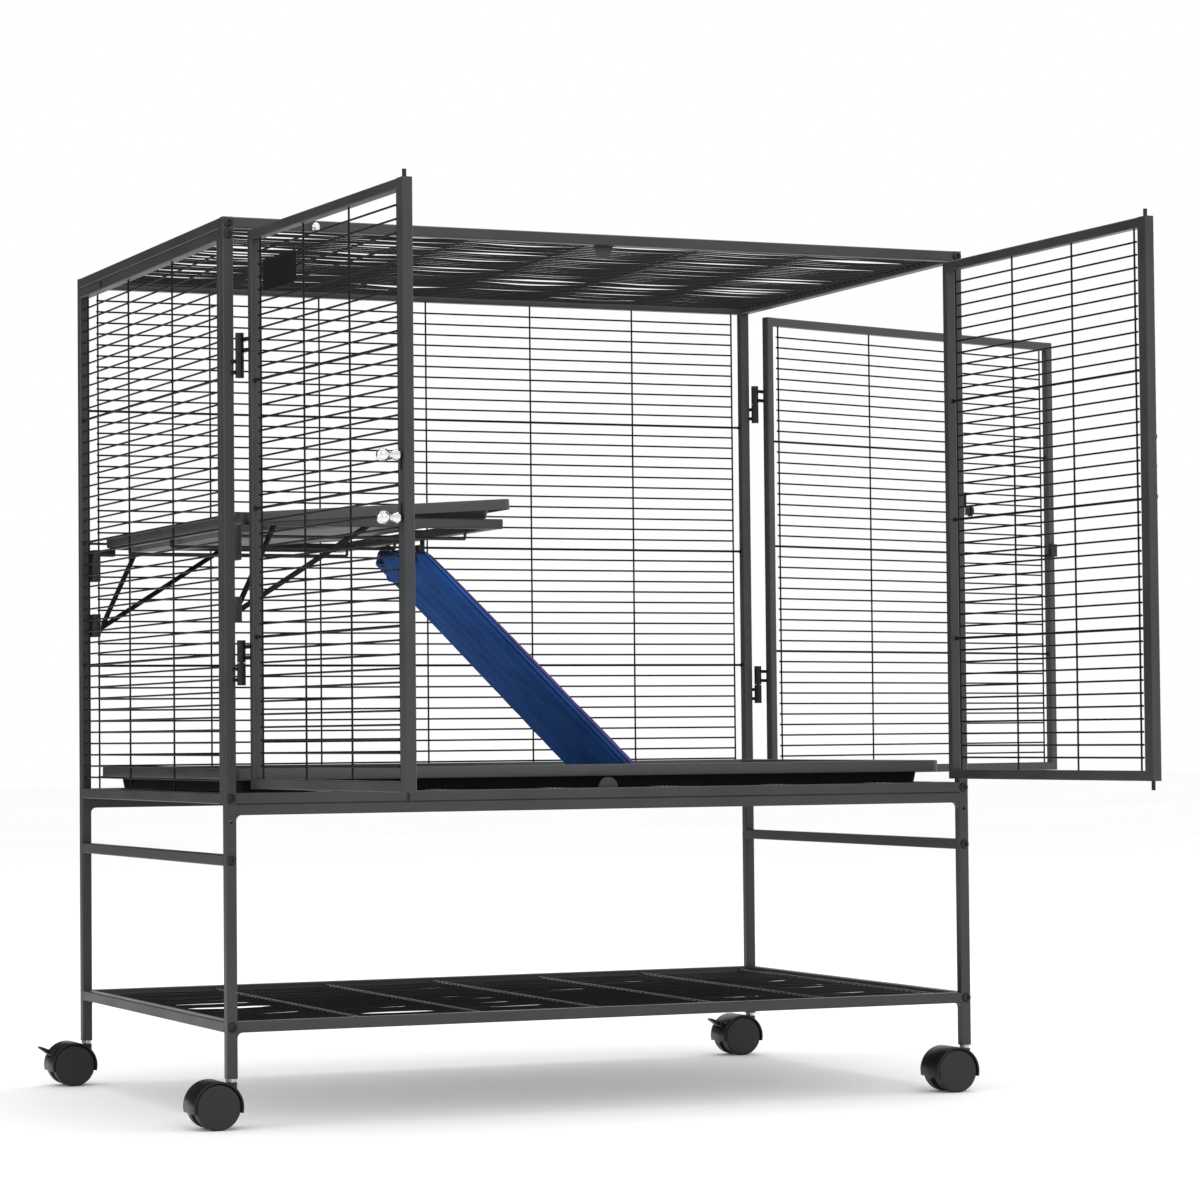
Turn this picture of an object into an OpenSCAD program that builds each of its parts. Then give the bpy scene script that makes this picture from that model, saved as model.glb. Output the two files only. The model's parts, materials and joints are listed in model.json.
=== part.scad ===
// Ferret cage on a wheeled stand: square steel tube frames, welded wire panels,
// two front doors, a side door, a half shelf with a ramp, and a storage grille.
// X runs along the width, Y from front to back, Z up; the floor is Z = 0.

/* [Cage] */
// Width over the corner posts
cage_w = 914; // [910:2:960]
// Depth over the corner posts
cage_d = 600; // [580:2:640]
// Height of the corner posts
cage_h = 641; // [641:1:680]
// Side of the square tube
tube = 12; // [12:0.5:13]

/* [Stand] */
// Height of the legs, from their lower ends to the cage
leg_h = 297; // [297:1:330]
// Underside of the storage shelf above the lower ends of the legs
storage_z = 49.5; // [45:0.5:60]
// Underside of the side rails above the lower ends of the legs
side_rail_z = 230; // [200:1:240]

/* [Wires] */
// Thickness of the wires
wire_d = 2.2; // [2:0.1:2.4]
// Thickness of the few wires that hold a panel to its frame
heavy_d = 3; // [2.6:0.1:3.2]
// Rows of wires in the back panel
back_rows = 44; // [40:1:45]
// Rows of wires in the left panel
left_rows = 43; // [39:1:45]
// Rows of wires in each door
door_rows = 41; // [38:1:44]
// Rows of wires in the top, the floor and the storage shelf
flat_rows = 40; // [36:1:42]

/* [Doors] */
// Angle at which the left door stands open
left_open = 87; // [60:1:120]
// Angle at which the right door stands open
right_open = 92; // [60:1:120]
// Angle at which the side door stands open
side_open = 108; // [100:1:120]
// Side of the door tube, in the plane of the door
door_tube = 11; // [10:0.5:12]
// Thickness of the doors
door_t = 10.8; // [10:0.1:10.8]
// Width of the stile that holds the latch rods
latch_stile_w = 17; // [16:0.5:20]
// Gap above and below the doors
door_gap = 4.5; // [3:0.5:5]

/* [Latches] */
// Height of the left door's upper knob above the cage's foot
left_upper = 349; // [343:1:365]
// Height of the left door's lower knob above the cage's foot
left_lower = 287; // [279:1:297]
// Height of the right door's upper knob above the cage's foot
right_upper = 387; // [379:1:399]
// Height of the right door's lower knob above the cage's foot
right_lower = 322; // [309:1:333]
// Travel of the latch rods
latch_travel = 13; // [12:0.5:14]
// Radius of the latch rods
rod_r = 2.2; // [2:0.1:2.3]
// Radius of the knobs' balls
knob_r = 7; // [6:0.5:8]
// Height of the side door's latch above the cage's foot
side_latch = 333; // [299:1:349]

/* [Shelf and trays] */
// Width of the half shelf's tray
shelf_w = 320; // [318:1:326]
// Underside of the half shelf's frame above the cage's foot
shelf_h = 305; // [304:1:307]
// Height of the floor tray
tray_h = 26; // [22:1:28]
// Width of the floor tray's rim
tray_w = 880; // [800:2:884]
// Depth of the floor tray's rim
tray_d = 532; // [500:2:534]

/* [Ramp] */
// Length of the ramp, from its hooks to its lower end
ramp_l = 391; // [385:0.5:391]
// Width of the ramp with its cover
ramp_w = 182; // [172:1:192]
// Slope of the ramp, downwards
ramp_slope = 43.8; // [42:0.1:43.8]
// Thickness of the ramp's padded cover
ramp_t = 9; // [8:0.5:9]

/* [Casters] */
// Radius of the wheels
wheel_r = 25; // [24:0.5:25]
// Distance of the axle behind the swivel
trail = 20; // [16:0.5:20]
// Overall height of the casters
caster_h = 54; // [54:0.5:58]

/* [Hidden] */
$fn = 48;
charcoal = "#474749";
black = "#1c1c1e";
chrome = "#d8d8d8";

// levels
leg_z = caster_h;
base_z = leg_z + leg_h;              // joint of the stand and the cage
top_z = base_z + cage_h;
storage_rail_z = leg_z + storage_z;
mid_rail_z = leg_z + side_rail_z;
roof_rail_z = top_z - tube;          // underside of the top rails
panel_rail_z = roof_rail_z - tube - 0.5; // underside of the left panel's top rail
floor_top = base_z + tube;           // top of the bottom rails
door_z0 = floor_top + door_gap;
door_z1 = roof_rail_z - door_gap;
shelf_z = base_z + shelf_h;
left_upper_z = base_z + left_upper;
left_lower_z = base_z + left_lower;
right_upper_z = base_z + right_upper;
right_lower_z = base_z + right_lower;
side_latch_z = base_z + side_latch;

// plan
in_w = cage_w - 2 * tube;
in_d = cage_d - 2 * tube;
post_x = (cage_w - tube) / 2;
post_y = (cage_d - tube) / 2;
edge = 1;                            // chamfer along the tubes
layer_gap = 0.05;                    // between crossing wires
row_off = wire_d + layer_gap;        // from a column's axis to a row's axis
heavy_off = (wire_d + heavy_d) / 2 + layer_gap;

// bolts
bolt_r = 3;
bolt_clear = 0.1;
bolt_len = 28;
rail_levels = [storage_rail_z, mid_rail_z, base_z, roof_rail_z];
bolt_points = [
    for (sx = [-1, 1], sy = [-1, 1])
        for (z = concat(rail_levels, sx < 0 ? [panel_rail_z] : []))
            [sx * post_x, sy, z + tube / 2]
];

// hinges
barrel_r = 4.7;
pin_r = 2.5;
fit_gap = 0.05;
hinge_h = 49;                        // height of both halves together
axis_in = 4.8;                       // from the post's side to the hinge axis
axis_out = 5.5;                      // from the frame's face to the hinge axis
door_x = in_w / 2 - axis_in;         // front hinge axes
door_y = -cage_d / 2 - axis_out;
side_x = cage_w / 2 + axis_out;      // side hinge axis
side_y = in_d / 2 - axis_in;
stile_in = 8.2;                      // from the hinge axis to the hinge stile
door_face = 6.4;                     // from the hinge axis back to the door's face
front_door_w = door_x - 1;           // from the hinge axis to the free edge
side_door_w = side_y + in_d / 2 - 2;
front_hinges = [base_z + 129, base_z + 464];
side_hinges = [base_z + 112, base_z + 484];

// latches
rod_u = front_door_w - latch_stile_w / 2;
rod_v = door_face + door_t / 2;
rod_gap = 0.08;
pin_hole_r = rod_r + 1;
pin_up = 8.5;                        // rod beyond the door's upper edge
pin_down = 9.9;                      // rod beyond the door's lower edge
knob_gap = 1.5;                      // between the door and a ball knob
stud_gap = 0.3;                      // between the door and a domed knob

// left panel and its hole
hang_hole_r = 5;
hang_hole_y = 192;
leg_hole_r = 2;
leg_hole_z = base_z - 19;

// shelf
shelf_x0 = -in_w / 2 + 18.5;
shelf_x1 = -122;
shelf_y = 277;
shelf_tube = 11;
shelf_bend = 14;                     // outside the shelf frame's left corners
shelf_top = shelf_z + shelf_tube;
wire_shelf_z = shelf_z - 7;          // support wires under the shelf's tray
wire_shelf_r = 1.8;
hook_t = 1.6;                        // sheet of the ramp's hooks
hook_gap = 0.1;
hook_y = 60;                         // each hook, from the ramp's middle
ramp_rod_r = 2.5;
ramp_rod_x = shelf_x1 - shelf_tube / 2;
ramp_rod_z = shelf_z - 10;
ramp_y = 46;
ramp_sink = 7;                       // from the ramp's rod to its board
ramp_from = 9;                       // from the ramp's rod to its cover
brace_r = 3;
brace_foot = [-in_w / 2 + 9, base_z + 209];
brace_heads = [-391, -284];

// casters
web_half = 6.5;
wheel_w = 14;
hood_r = 28;
hood_low = 18.5;                     // lower edge of the hood over the floor
axle_r = 3;
stem_r = 4;
brake_u = -trail - 25;
brake_z = 40;

// ---- square tubes ----

// Outline of a tube with chamfered edges, from the origin
module tube_outline(a, b) {
    polygon([
        [edge, 0], [a - edge, 0], [a, edge], [a, b - edge],
        [a - edge, b], [edge, b], [0, b - edge], [0, edge]
    ]);
}

// Tubes of section a by b whose lowest corner is at p
module tube_z(p, a, b, l) {
    translate(p) linear_extrude(l) tube_outline(a, b);
}

module tube_x(p, l, b, h) {
    translate(p) rotate([90, 0, 90]) linear_extrude(l) tube_outline(b, h);
}

module tube_y(p, a, l, h) {
    translate(p + [0, l, 0]) rotate([90, 0, 0]) linear_extrude(l) tube_outline(a, h);
}

// Round bar between two points
module rod(p, q, r) {
    d = q - p;
    l = norm(d);
    translate(p) rotate([0, acos(d.z / l), atan2(d.y, d.x)]) cylinder(h = l, r = r);
}

// ---- bolts ----

module bolt_holes() {
    for (b = bolt_points)
        translate([b.x, b.y * cage_d / 2, b.z]) rotate([b.y * 90, 0, 0])
            translate([0, 0, -1]) cylinder(h = bolt_len + 2, r = bolt_r + bolt_clear);
}

// Bolt standing in the origin, its shank along +Z
module bolt() {
    cylinder(h = bolt_len, r = bolt_r);
    rotate_extrude() intersection() {
        translate([0, 4.2]) circle(r = 7);
        translate([0, -3]) square([5.5, 3]);
    }
}

// ---- wires ----

// Welded wires over an opening of w by h in the XZ plane. Columns are on the
// Y = 0 plane; rows lie in front of them and pass the outer columns by over.
// Rows named in heavy are thicker and reach the frame.
module grille(w, h, rows, cols, inset, over, heavy = []) {
    for (j = [0 : cols - 1])
        translate([inset + j * (w - 2 * inset) / (cols - 1), 0, 0])
            cylinder(h = h, d = wire_d, $fn = 24);
    for (i = [1 : rows]) {
        thick = len(search(i, heavy)) > 0;
        end = thick ? 0 : inset - over;
        translate([end, thick ? -heavy_off : -row_off, i * h / (rows + 1)])
            rotate([0, 90, 0])
                cylinder(h = w - 2 * end, d = thick ? heavy_d : wire_d, $fn = 24);
    }
}

// The same wires lying flat over the cage's plan, rows along X at height z
module flat_grille(z) {
    translate([-in_w / 2, -in_d / 2, z]) rotate([-90, 0, 0])
        grille(in_w, in_d, flat_rows, 7, 12, 12);
}

// ---- frames ----

// Concave weld in the corner below a rail, to the right of a leg
module weld_corner(r) {
    translate([0, 0, -r]) difference() {
        cube([r, tube - 2 * edge, r]);
        translate([r, -1, 0]) rotate([-90, 0, 0]) cylinder(h = tube, r = r);
    }
}

// Two uprights and the rails between them, at the front side
module goal_frame(z0, z1, rails) {
    y = -cage_d / 2;
    for (x = [-cage_w / 2, cage_w / 2 - tube])
        tube_z([x, y, z0], tube, tube, z1 - z0);
    for (z = rails)
        tube_x([-cage_w / 2 + tube / 2, y, z], cage_w - tube, tube, tube);
}

module stand_frame() {
    color(charcoal) difference() {
        union() {
            goal_frame(leg_z, base_z, [storage_rail_z, base_z - tube]);
            for (s = [0, 1], z = [base_z - tube, storage_rail_z])
                mirror([s, 0, 0])
                    translate([-in_w / 2, -cage_d / 2 + edge, z]) weld_corner(6);
        }
        bolt_holes();
        connector_bores();
        for (x = [-post_x, post_x]) translate([x, -post_y, leg_z - 1])
            cylinder(h = 24, r = stem_r + fit_gap);
        children();
    }
}

module front_stand_frame() {
    stand_frame() for (x = [-post_x, post_x])
        translate([x, -cage_d / 2 - 1, leg_hole_z]) rotate([-90, 0, 0])
            cylinder(h = tube + 2, r = leg_hole_r);
}

module back_stand_frame() {
    mirror([0, 1, 0]) stand_frame();
}

// Rails from front to back at height z; sx is the side
module side_rail(sx, z) {
    difference() {
        tube_y([sx * post_x - tube / 2, -in_d / 2, z], tube, in_d, tube);
        bolt_holes();
    }
}

module stand_side_rails() {
    color(charcoal) for (sx = [-1, 1]) side_rail(sx, mid_rail_z);
}

module storage_shelf_rails() {
    color(charcoal) for (sx = [-1, 1]) side_rail(sx, storage_rail_z);
}

module storage_shelf_wires() {
    color(charcoal) flat_grille(storage_rail_z + tube / 2);
}

module cage_frame() {
    difference() {
        goal_frame(base_z, top_z, [base_z, roof_rail_z]);
        bolt_holes();
        connector_bores();
        children();
    }
}

module front_frame() {
    color(charcoal) cage_frame() for (sx = [-1, 1])
        translate([sx * (door_x - rod_u), door_y + rod_v, 0]) {
            translate([0, 0, floor_top - 8]) cylinder(h = 9, r = pin_hole_r);
            translate([0, 0, roof_rail_z - 1]) cylinder(h = 8, r = pin_hole_r);
        }
}

module back_frame() {
    color(charcoal) mirror([0, 1, 0]) cage_frame();
}

module back_wires() {
    color(charcoal) translate([in_w / 2, post_y - 1, floor_top]) rotate([0, 0, 180])
        grille(in_w, roof_rail_z - floor_top, back_rows, 7, 12, 1, [11, 22, 34]);
}

module left_panel_frame() {
    color(charcoal) difference() {
        union() {
            for (z = [base_z, panel_rail_z])
                tube_y([-cage_w / 2, -in_d / 2, z], tube, in_d, tube);
            tube_z([-cage_w / 2, -in_d / 2, base_z], tube, tube, panel_rail_z + tube - base_z);
        }
        bolt_holes();
        translate([-cage_w / 2 - 1, hang_hole_y, panel_rail_z + tube / 2]) rotate([0, 90, 0])
            cylinder(h = tube + 2, r = hang_hole_r);
    }
}

module left_panel_wires() {
    color(charcoal) translate([-post_x + 1, in_d / 2, floor_top]) rotate([0, 0, -90])
        grille(in_d - tube, panel_rail_z - floor_top, left_rows, 4, 12, 12, [11, 22, 33]);
}

module right_bottom_rail() {
    color(charcoal) side_rail(1, base_z);
}

module top_side_rails() {
    color(charcoal) for (sx = [-1, 1]) side_rail(sx, roof_rail_z);
}

module top_wires() {
    color(charcoal) flat_grille(top_z - tube / 2);
}

module floor_wires() {
    color(charcoal) flat_grille(floor_top - 3.5);
}

// Plates behind the front rails that the closed doors meet
module door_stop_tabs() {
    color(charcoal) translate([0, -in_d / 2, 0]) rotate([90, 0, 0]) mirror([0, 0, 1]) {
        linear_extrude(2) intersection() {
            translate([0, floor_top]) circle(r = 11.7);
            translate([-12, floor_top - 2]) square([24, 20]);
        }
        linear_extrude(2)
            polygon([
                [-12, roof_rail_z + 3], [12, roof_rail_z + 3], [12, roof_rail_z],
                [6, roof_rail_z - 14], [-6, roof_rail_z - 14], [-12, roof_rail_z]
            ]);
    }
}

module frame_bolts() {
    color(black) for (b = bolt_points)
        translate([b.x, b.y * cage_d / 2, b.z]) rotate([b.y * 90, 0, 0]) bolt();
}

// Dowels that join the legs and the posts
connector_z = base_z - 14;
connector_h = 34;

module connector_bores() {
    for (x = [-post_x, post_x], y = [-post_y, post_y])
        translate([x, y, connector_z]) cylinder(h = connector_h + 0.5, r = 4 + fit_gap);
}

module post_connectors() {
    color("silver") difference() {
        for (x = [-post_x, post_x], y = [-post_y, post_y])
            translate([x, y, connector_z]) cylinder(h = connector_h, r = 4);
        bolt_holes();
    }
}

// Chrome stud on the face of the top rail
module top_rail_stud() {
    color(chrome) translate([-352, -cage_d / 2, roof_rail_z + 4]) rotate([90, 0, 0])
        rotate_extrude() {
            square([3, 4]);
            intersection() {
                translate([0, 6]) circle(r = 5);
                square([6, 12]);
            }
        }
}

// ---- hinges ----

// Post's half, around the axis at the origin; the post is at -X
module hinge_post_half(z) {
    translate([0, 0, z]) {
        cylinder(h = hinge_h / 2 - 0.3, r = barrel_r);
        cylinder(h = hinge_h - 4, r = pin_r);
        for (h = [4, 16]) translate([-axis_in - 3, 1.5, h])
            cube([axis_in + 2, axis_out - 1.5, 4]);
    }
}

// Door's half, over the pin, with two arms on the door's face
module hinge_door_half(z) {
    translate([0, 0, z + hinge_h / 2 + 0.3]) difference() {
        union() {
            cylinder(h = hinge_h / 2 - 0.3, r = barrel_r);
            for (h = [3, 15]) translate([0, 2.2, h])
                cube([stile_in + 5, door_face - 2.2, 4]);
        }
        translate([0, 0, -1]) cylinder(h = hinge_h / 2 - 2.5, r = pin_r + fit_gap);
    }
}

module post_hinge_halves() {
    color(black) {
        for (z = front_hinges) {
            translate([-door_x, door_y, 0]) hinge_post_half(z);
            translate([door_x, door_y, 0]) mirror([1, 0, 0]) hinge_post_half(z);
        }
        for (z = side_hinges)
            translate([side_x, side_y, 0]) rotate([0, 0, 90]) mirror([1, 0, 0])
                hinge_post_half(z);
    }
}

// ---- doors: built around the hinge axis, +X to the free edge, +Y inwards ----

module at_left_door() {
    translate([-door_x, door_y, 0]) rotate([0, 0, -left_open]) children();
}

module at_right_door() {
    translate([door_x, door_y, 0]) rotate([0, 0, right_open]) mirror([1, 0, 0]) children();
}

module at_side_door() {
    translate([side_x, side_y, 0]) rotate([0, 0, 90 + side_open]) mirror([1, 0, 0]) children();
}

module door_frame(w, free_w) {
    h = door_z1 - door_z0;
    tube_z([stile_in, door_face, door_z0], door_tube, door_t, h);
    tube_z([w - free_w, door_face, door_z0], free_w, door_t, h);
    for (z = [door_z0, door_z1 - door_tube])
        tube_x([stile_in + door_tube / 2, door_face, z],
            w - stile_in - door_tube / 2 - free_w / 2, door_t, door_tube);
}

module door_wires(w, free_w) {
    clear_h = door_z1 - door_z0 - 2 * door_tube;
    translate([stile_in + door_tube, rod_v + 1, door_z0 + door_tube])
        grille(w - free_w - stile_in - door_tube, clear_h, door_rows, 4, 12, 1, [11, 21, 31]);
}

// Slot for a knob's shank, from z to z + travel
module shank_slot(z) {
    r = rod_r + 0.2;
    translate([rod_u, rod_v, 0]) {
        translate([-r, -rod_v, z]) cube([2 * r, rod_v, latch_travel]);
        for (h = [z, z + latch_travel]) translate([0, 0, h]) rotate([90, 0, 0])
            cylinder(h = rod_v, r = r);
    }
}

module latch_door_frame(upper_z, lower_z) {
    difference() {
        door_frame(front_door_w, latch_stile_w);
        translate([rod_u, rod_v, door_z0 - 1])
            cylinder(h = door_z1 - door_z0 + 2, r = rod_r + rod_gap);
        shank_slot(upper_z - latch_travel);
        shank_slot(lower_z);
    }
}

// Rod from its shank at height z to its tip
module latch_rod(z, tip, gap) {
    away = tip > z ? -5 : 5;
    low = min(z + away, tip);
    translate([rod_u, rod_v, 0]) {
        translate([0, 0, low]) cylinder(h = abs(tip - z - away), r = rod_r);
        translate([0, 0, z]) rotate([90, 0, 0]) cylinder(h = rod_v - door_face + gap, r = rod_r);
    }
}

// Ball knob with a flared collar
module ball_knob(z) {
    translate([rod_u, door_face - knob_gap, z]) rotate([90, 0, 0]) rotate_extrude()
        intersection() {
            union() {
                polygon([[0, 0], [4.5, 0], [5.9, 2], [5.9, 3.5], [3.5, 9], [3.5, 14], [0, 14]]);
                translate([0, 18]) circle(r = knob_r);
            }
            square([30, 60]);
        }
}

// Low domed knob
module dome_knob(z) {
    translate([rod_u, door_face - stud_gap, z]) rotate([90, 0, 0]) rotate_extrude()
        intersection() {
            translate([0, -0.7]) circle(r = 5.4);
            square([6, 6]);
        }
}

module left_door_frame() {
    color(charcoal) at_left_door() latch_door_frame(left_upper_z, left_lower_z);
}

module right_door_frame() {
    color(charcoal) at_right_door() latch_door_frame(right_upper_z, right_lower_z);
}

module side_door_frame() { color(charcoal) at_side_door() door_frame(side_door_w, door_tube); }

module left_door_wires() {
    color(charcoal) at_left_door() door_wires(front_door_w, latch_stile_w);
}

module right_door_wires() {
    color(charcoal) at_right_door() door_wires(front_door_w, latch_stile_w);
}

module side_door_wires() {
    color(charcoal) at_side_door() door_wires(side_door_w, door_tube);
}

module left_door_hinges() {
    color(black) at_left_door() for (z = front_hinges) hinge_door_half(z);
}

module right_door_hinges() {
    color(black) at_right_door() for (z = front_hinges) hinge_door_half(z);
}

module side_door_hinges() {
    color(black) at_side_door() for (z = side_hinges) hinge_door_half(z);
}

// Bare plate in front of the left door's wires
module nameplate() {
    color(black) at_left_door() translate([54, door_face + 0.6, base_z + 553]) cube([94, 1.2, 34.5]);
}

module right_door_stud() {
    color("silver") at_right_door() translate([rod_u, door_face, base_z + 355]) rotate([90, 0, 0])
        cylinder(h = 4.5, r = 2);
}

module side_door_catch() {
    color(charcoal) at_side_door()
        translate([side_door_w - 13, door_face + door_t, side_latch_z - 14]) cube([12, 5.5, 18]);
}

// ---- latches ----

up_tip = door_z1 + pin_up;
down_tip = door_z0 - pin_down;

module left_upper_rod() {
    color(charcoal) at_left_door() latch_rod(left_upper_z, up_tip, knob_gap);
}

module left_lower_rod() {
    color(charcoal) at_left_door() latch_rod(left_lower_z, down_tip, knob_gap);
}

module right_upper_rod() {
    color(charcoal) at_right_door() latch_rod(right_upper_z, up_tip, stud_gap);
}

module right_lower_rod() {
    color(charcoal) at_right_door() latch_rod(right_lower_z, down_tip, stud_gap);
}

module left_upper_knob() { color(chrome) at_left_door() ball_knob(left_upper_z); }
module left_lower_knob() { color(chrome) at_left_door() ball_knob(left_lower_z); }
module right_upper_knob() { color(black) at_right_door() dome_knob(right_upper_z); }
module right_lower_knob() { color(black) at_right_door() dome_knob(right_lower_z); }

// Pivot of the side door's turn latch, on the front right post
module side_latch_pivot() {
    color(black) translate([cage_w / 2, -post_y, side_latch_z]) rotate([0, 90, 0]) {
        cylinder(h = 1, r = 6);
        cylinder(h = 10, r = pin_r);
    }
}

// Turn latch: a hub and a loop that swings down over the door
module side_latch_turn() {
    color(black) translate([cage_w / 2 + 1.1, -post_y, side_latch_z]) rotate([0, 90, 0])
        difference() {
            union() {
                cylinder(h = 8, r = 5);
                translate([0, 0, 8]) cylinder(h = 3.5, r = 6.5);
                translate([-21, -4.5, 0]) cube([21, 9, 2.5]);
            }
            translate([0, 0, -1]) cylinder(h = 10.1, r = pin_r + fit_gap);
            translate([-18.5, -2.2, -1]) cube([10, 4.4, 5]);
        }
}

// ---- trays ----

// Rounded plate of w by d, centred
module plate(w, d, h, r) {
    linear_extrude(h) {
        square([w - 2 * r, d], center = true);
        square([w, d - 2 * r], center = true);
        for (x = [-1, 1], y = [-1, 1]) translate([x * (w / 2 - r), y * (d / 2 - r)])
            circle(r = r);
    }
}

// Tray with tapered sides and a rim that turns down
module tray(w, d, h, rim, lip) {
    wall = 2;
    top_in = 2 * rim;
    foot_in = top_in + 8;
    difference() {
        union() {
            hull() {
                plate(w - foot_in, d - foot_in, 0.1, 10);
                translate([0, 0, h - 1]) plate(w - top_in, d - top_in, 0.1, 10);
            }
            difference() {
                translate([0, 0, h - lip]) plate(w, d, lip, 14);
                translate([0, 0, h - lip - 1]) plate(w - 2 * wall, d - 2 * wall, lip - 1, 12);
            }
        }
        hull() {
            translate([0, 0, wall])
                plate(w - foot_in - 2 * wall, d - foot_in - 2 * wall, 0.1, 8);
            translate([0, 0, h + 1]) plate(w - top_in - 2 * wall, d - top_in - 2 * wall, 0.1, 8);
        }
    }
}

module floor_tray() {
    color(black) translate([0, 0, floor_top + 0.15]) tray(tray_w, tray_d, tray_h, 18, 13);
}

// The half shelf's tray sinks between the tubes at its left end, onto the
// support wires, and lies on the ramp's hooks at its right end
tray_foot = 22;                      // from the rim's edge to the body's foot
tray_low = wire_shelf_z + wire_shelf_r + 0.6;
tray_x = shelf_x0 - 2.5 + tray_foot;
tray_tilt = asin((shelf_top + hook_gap + hook_t + 0.1 - tray_low)
    / (shelf_x1 - shelf_tube - hook_gap - hook_t - tray_x));

module shelf_tray() {
    color(black) translate([tray_x, 0, tray_low]) rotate([0, -tray_tilt, 0])
        translate([shelf_w / 2 - tray_foot, 0, 0]) tray(shelf_w, 560, 20, 18, 12);
}

// ---- half shelf ----

// Bent corner of a tube, on the origin, from +X round to -Y
module shelf_corner() {
    rotate_extrude(angle = 90) translate([shelf_bend - shelf_tube, 0, 0])
        tube_outline(shelf_tube, shelf_tube);
}

module shelf_frame() {
    t = shelf_tube;
    r = shelf_bend;
    ends = [shelf_x0 + t + 1.3, shelf_x1 - t - 1.3];
    color(charcoal) {
        for (y = [-shelf_y, shelf_y - t])
            tube_x([shelf_x0 + r, y, shelf_z], shelf_x1 - shelf_x0 - r, t, t);
        tube_y([shelf_x0, -shelf_y + r, shelf_z], t, 2 * (shelf_y - r), t);
        tube_y([shelf_x1 - t, -shelf_y + t / 2, shelf_z], t, 2 * shelf_y - t, t);
        for (s = [0, 1]) mirror([0, s, 0])
            translate([shelf_x0 + r, -shelf_y + r, shelf_z]) rotate([0, 0, 180]) shelf_corner();
        for (y = [-190, ramp_y, 220]) {
            rod([ends[0], y, wire_shelf_z], [ends[1], y, wire_shelf_z], wire_shelf_r);
            for (x = ends) translate([x, y, wire_shelf_z]) cylinder(h = 12, r = wire_shelf_r);
        }
    }
}

module shelf_braces() {
    foot = brace_foot;
    color(charcoal) for (y = [-shelf_y + 6, shelf_y - 6]) difference() {
        for (x = brace_heads)
            rod([foot.x - 4, y, foot.y - 4 * (shelf_z - foot.y) / (x - foot.x)],
                [x + 4, y, shelf_z + 4 * (shelf_z - foot.y) / (x - foot.x)], brace_r);
        translate([foot.x - 20, y - 5, foot.y - 60]) cube([20, 10, 120]);
        translate([foot.x, y - 5, shelf_z]) cube([200, 10, 30]);
    }
}

// Blocks on the posts; a lug on each upper block carries the shelf's frame
module shelf_brackets() {
    color(black) for (s = [0, 1]) mirror([0, s, 0])
        translate([-in_w / 2, -post_y - 2, 0]) {
            translate([0, 0, base_z + 198]) cube([9, 22.5, 28]);
            translate([0, 0, shelf_z - 39]) cube([9, 22.5, 39]);
            translate([0, 10, shelf_z - 8]) cube([28, 12.5, 8]);
        }
}

// ---- ramp: built around its rod, +X down the slope, +Z to the upper side ----

module at_ramp() {
    translate([ramp_rod_x, ramp_y, ramp_rod_z]) rotate([0, ramp_slope, 0]) children();
}

module ramp_board() {
    inset = 5;
    tab_w = 2 * hook_y - 20;
    color("#303034") at_ramp() {
        translate([ramp_from - 1, -ramp_w / 2 + inset, -ramp_sink - 2])
            cube([ramp_l - ramp_from - 1, ramp_w - 2 * inset, 4]);
        translate([-2, -tab_w / 2, -ramp_sink - 2]) cube([ramp_from + 1.5, tab_w, ramp_sink + 2]);
        translate([0, hook_y + 10, 0]) rotate([90, 0, 0])
            cylinder(h = 2 * hook_y + 20, r = ramp_rod_r);
    }
}

// Padded sleeve over the board, open at its ends
module ramp_cover() {
    r = ramp_t / 2;
    l = ramp_l - ramp_from;
    color("#1f3f86") at_ramp() translate([ramp_from, 0, -ramp_sink]) difference() {
        union() {
            translate([0, -ramp_w / 2 + r, -r]) cube([l, ramp_w - 2 * r, ramp_t]);
            for (s = [-1, 1]) translate([0, s * (ramp_w / 2 - r), 0]) rotate([0, 90, 0])
                cylinder(h = l, r = r);
        }
        translate([-1, -ramp_w / 2 + 4.6, -2.4]) cube([l + 2, ramp_w - 9.2, 4.8]);
    }
}

// Hooks over the shelf's tube, each with an eye for the ramp's rod
module ramp_hooks() {
    left = shelf_x1 - shelf_tube - hook_gap - hook_t;
    right = shelf_x1 + hook_gap;
    roof = shelf_top + hook_gap;
    color(black) for (s = [-1, 1]) translate([0, ramp_y + s * hook_y - 6, 0]) difference() {
        union() {
            translate([left, 0, roof]) cube([right + hook_t - left, 12, hook_t]);
            translate([left, 0, roof - 5]) cube([hook_t, 12, 5]);
            translate([right, 0, ramp_rod_z - 5]) cube([hook_t, 12, roof - ramp_rod_z + 5]);
            translate([ramp_rod_x, 0, ramp_rod_z - 5]) cube([right - ramp_rod_x, 12, 10]);
            translate([ramp_rod_x, 0, ramp_rod_z]) rotate([-90, 0, 0]) cylinder(h = 12, r = 5);
        }
        translate([ramp_rod_x, -1, ramp_rod_z]) rotate([-90, 0, 0])
            cylinder(h = 14, r = ramp_rod_r + fit_gap);
    }
}

// ---- casters: built at the swivel axis, trailing towards -X ----

module at_corner(sx, sy) {
    translate([sx * post_x, sy * post_y, 0]) children();
}

module caster_stems() {
    color("silver") for (sx = [-1, 1], sy = [-1, 1]) at_corner(sx, sy) {
        translate([0, 0, 34]) cylinder(h = leg_z + 20 - 34, r = stem_r);
        translate([0, 0, leg_z - 3]) cylinder(h = 3, r = 5.8);
    }
}

// Disc of radius r across the hood's width, on the axle
module on_axle(r, half) {
    translate([-trail, half, wheel_r]) rotate([90, 0, 0]) cylinder(h = 2 * half, r = r);
}

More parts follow.
